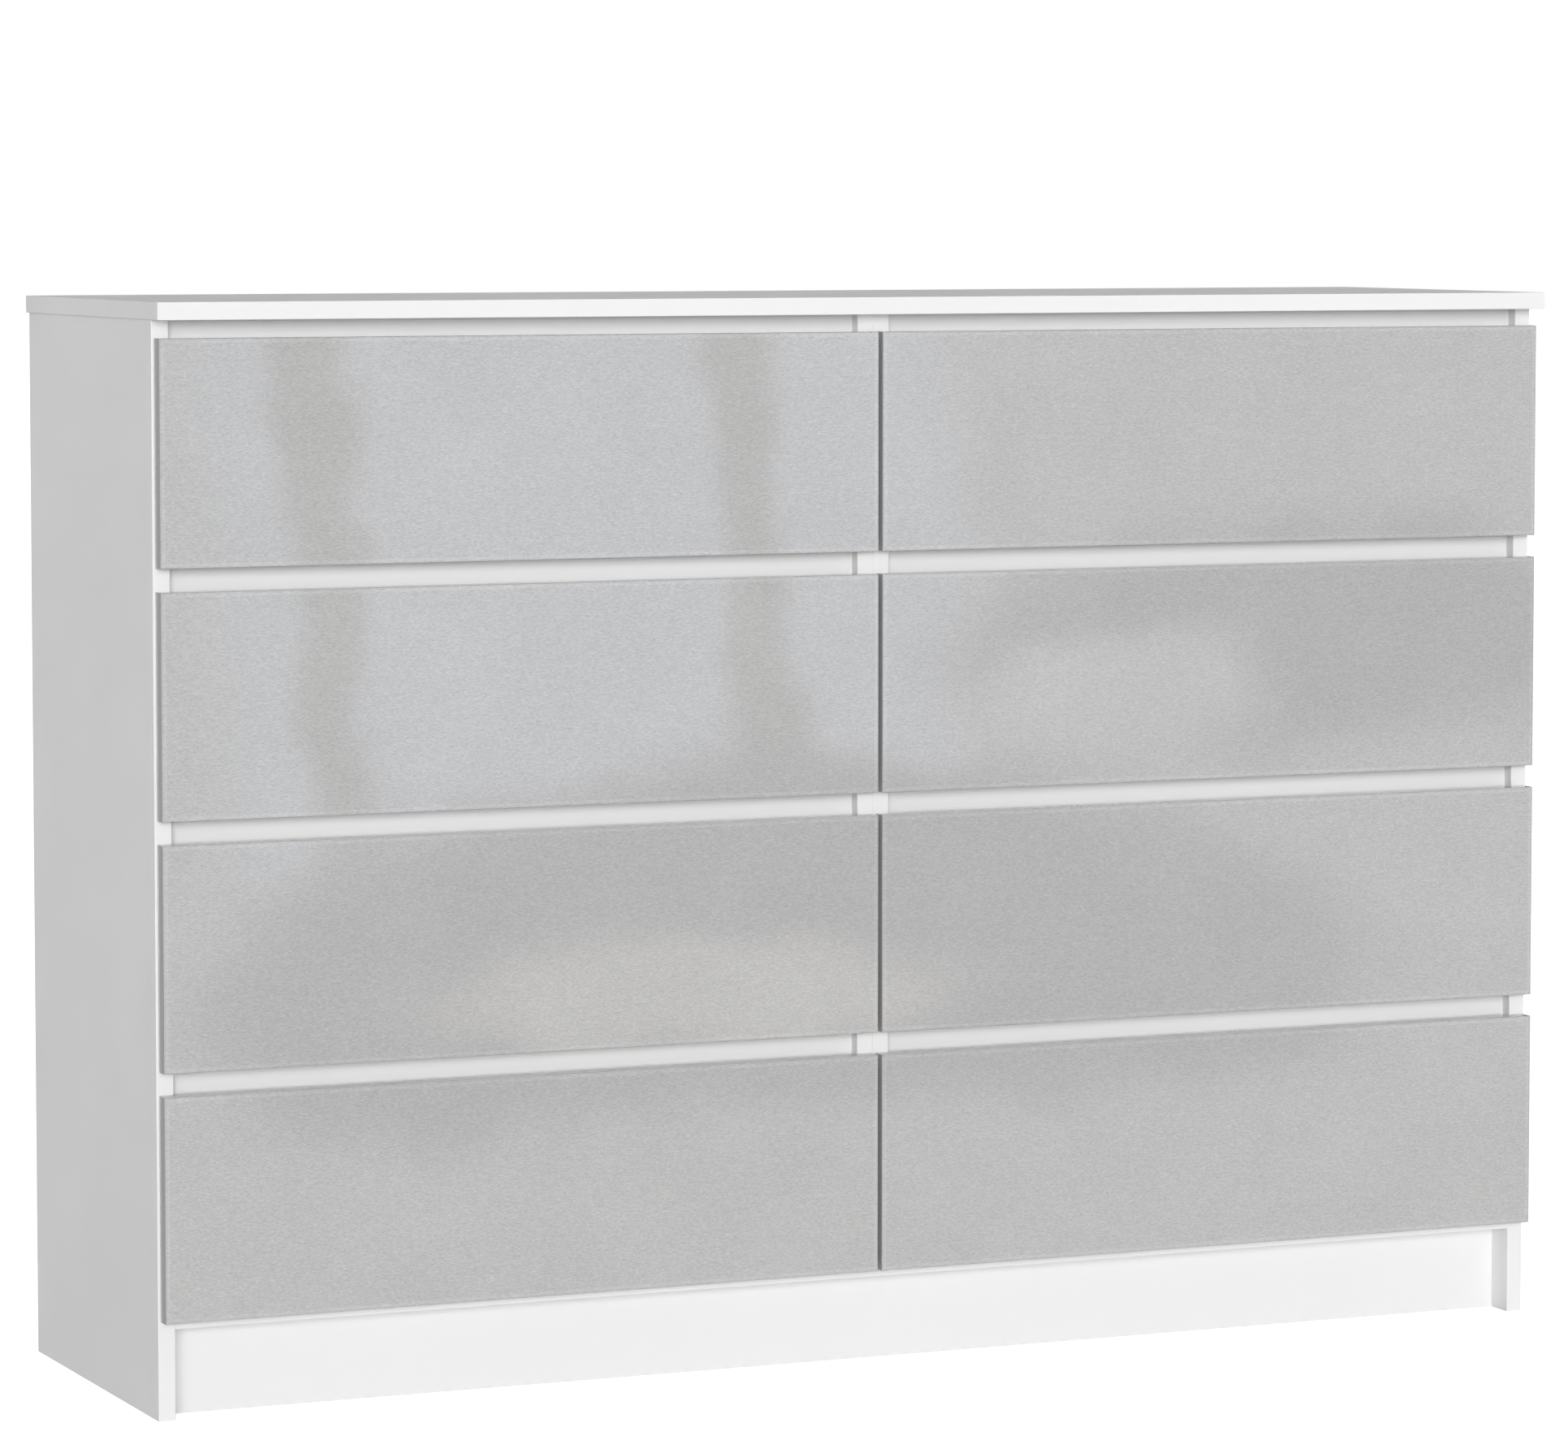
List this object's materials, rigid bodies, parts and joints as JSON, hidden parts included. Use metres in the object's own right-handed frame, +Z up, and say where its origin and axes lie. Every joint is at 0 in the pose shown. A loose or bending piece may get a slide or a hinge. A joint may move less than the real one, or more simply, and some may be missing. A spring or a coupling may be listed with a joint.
{
  "type": "dresser",
  "caption": "Wide dresser: white board carcass on a set-back plinth, side-by-side columns of handleless brushed silver-grey drawers opened by finger gaps.",
  "frame": {"origin": "on the floor, under the centre of the top board", "axes": "+Z up, -Y out of the drawer fronts, +X to the right when the fronts are looked at"},
  "size_m": [1.4, 0.4, 0.997],
  "materials": {
    "white_board": "white satin melamine on particle board",
    "front_laminate": "glossy silver-grey brushed laminate on particle board",
    "drawer_board": "white foil on thin particle board",
    "drawer_bottom": "white lacquered hardboard",
    "back_hardboard": "hardboard, raw brown on the wall side and white lacquered inside",
    "runner_steel": "white powder coat on sheet steel",
    "roller_nylon": "natural nylon",
    "zinc_steel": "bright zinc plating",
    "cam_zinc": "die-cast zinc, satin",
    "beech_dowel": "raw beech"
  },
  "bodies": {
    "carcass": {"top_panel": "white_board", "bottom_panel": "white_board", "front_plinth": "white_board", "rear_plinth": "white_board", "centre_support": "white_board", "cross_rails": "white_board", "left_side_panel": "white_board", "right_side_panel": "white_board", "left_partition": "white_board", "right_partition": "white_board", "left_back_panel": "back_hardboard", "right_back_panel": "back_hardboard", "cabinet_runners": "runner_steel", "cabinet_rollers": "roller_nylon", "runner_screws": "zinc_steel", "cam_locks": "cam_zinc", "cam_bolts": "zinc_steel", "dowels": "beech_dowel", "back_panel_nails": "zinc_steel"},
    "left_drawer_1": {"left_drawer_1_front": "front_laminate", "left_drawer_1_sides": "drawer_board", "left_drawer_1_back": "drawer_board", "left_drawer_1_bottom": "drawer_bottom", "left_drawer_1_runners": "runner_steel"},
    "left_drawer_2": {"left_drawer_2_front": "front_laminate", "left_drawer_2_sides": "drawer_board", "left_drawer_2_back": "drawer_board", "left_drawer_2_bottom": "drawer_bottom", "left_drawer_2_runners": "runner_steel"},
    "left_drawer_3": {"left_drawer_3_front": "front_laminate", "left_drawer_3_sides": "drawer_board", "left_drawer_3_back": "drawer_board", "left_drawer_3_bottom": "drawer_bottom", "left_drawer_3_runners": "runner_steel"},
    "left_drawer_4": {"left_drawer_4_front": "front_laminate", "left_drawer_4_sides": "drawer_board", "left_drawer_4_back": "drawer_board", "left_drawer_4_bottom": "drawer_bottom", "left_drawer_4_runners": "runner_steel"},
    "right_drawer_1": {"right_drawer_1_front": "front_laminate", "right_drawer_1_sides": "drawer_board", "right_drawer_1_back": "drawer_board", "right_drawer_1_bottom": "drawer_bottom", "right_drawer_1_runners": "runner_steel"},
    "right_drawer_2": {"right_drawer_2_front": "front_laminate", "right_drawer_2_sides": "drawer_board", "right_drawer_2_back": "drawer_board", "right_drawer_2_bottom": "drawer_bottom", "right_drawer_2_runners": "runner_steel"},
    "right_drawer_3": {"right_drawer_3_front": "front_laminate", "right_drawer_3_sides": "drawer_board", "right_drawer_3_back": "drawer_board", "right_drawer_3_bottom": "drawer_bottom", "right_drawer_3_runners": "runner_steel"},
    "right_drawer_4": {"right_drawer_4_front": "front_laminate", "right_drawer_4_sides": "drawer_board", "right_drawer_4_back": "drawer_board", "right_drawer_4_bottom": "drawer_bottom", "right_drawer_4_runners": "runner_steel"}
  },
  "joints": [
    {"name": "left_drawer_1_slide", "type": "slide", "parent": "carcass", "child": "left_drawer_1", "axis": [0, -1, 0], "range_m": [0, 0.26]},
    {"name": "left_drawer_2_slide", "type": "slide", "parent": "carcass", "child": "left_drawer_2", "axis": [0, -1, 0], "range_m": [0, 0.26]},
    {"name": "left_drawer_3_slide", "type": "slide", "parent": "carcass", "child": "left_drawer_3", "axis": [0, -1, 0], "range_m": [0, 0.26]},
    {"name": "left_drawer_4_slide", "type": "slide", "parent": "carcass", "child": "left_drawer_4", "axis": [0, -1, 0], "range_m": [0, 0.26]},
    {"name": "right_drawer_1_slide", "type": "slide", "parent": "carcass", "child": "right_drawer_1", "axis": [0, -1, 0], "range_m": [0, 0.26]},
    {"name": "right_drawer_2_slide", "type": "slide", "parent": "carcass", "child": "right_drawer_2", "axis": [0, -1, 0], "range_m": [0, 0.26]},
    {"name": "right_drawer_3_slide", "type": "slide", "parent": "carcass", "child": "right_drawer_3", "axis": [0, -1, 0], "range_m": [0, 0.26]},
    {"name": "right_drawer_4_slide", "type": "slide", "parent": "carcass", "child": "right_drawer_4", "axis": [0, -1, 0], "range_m": [0, 0.26]}
  ]
}
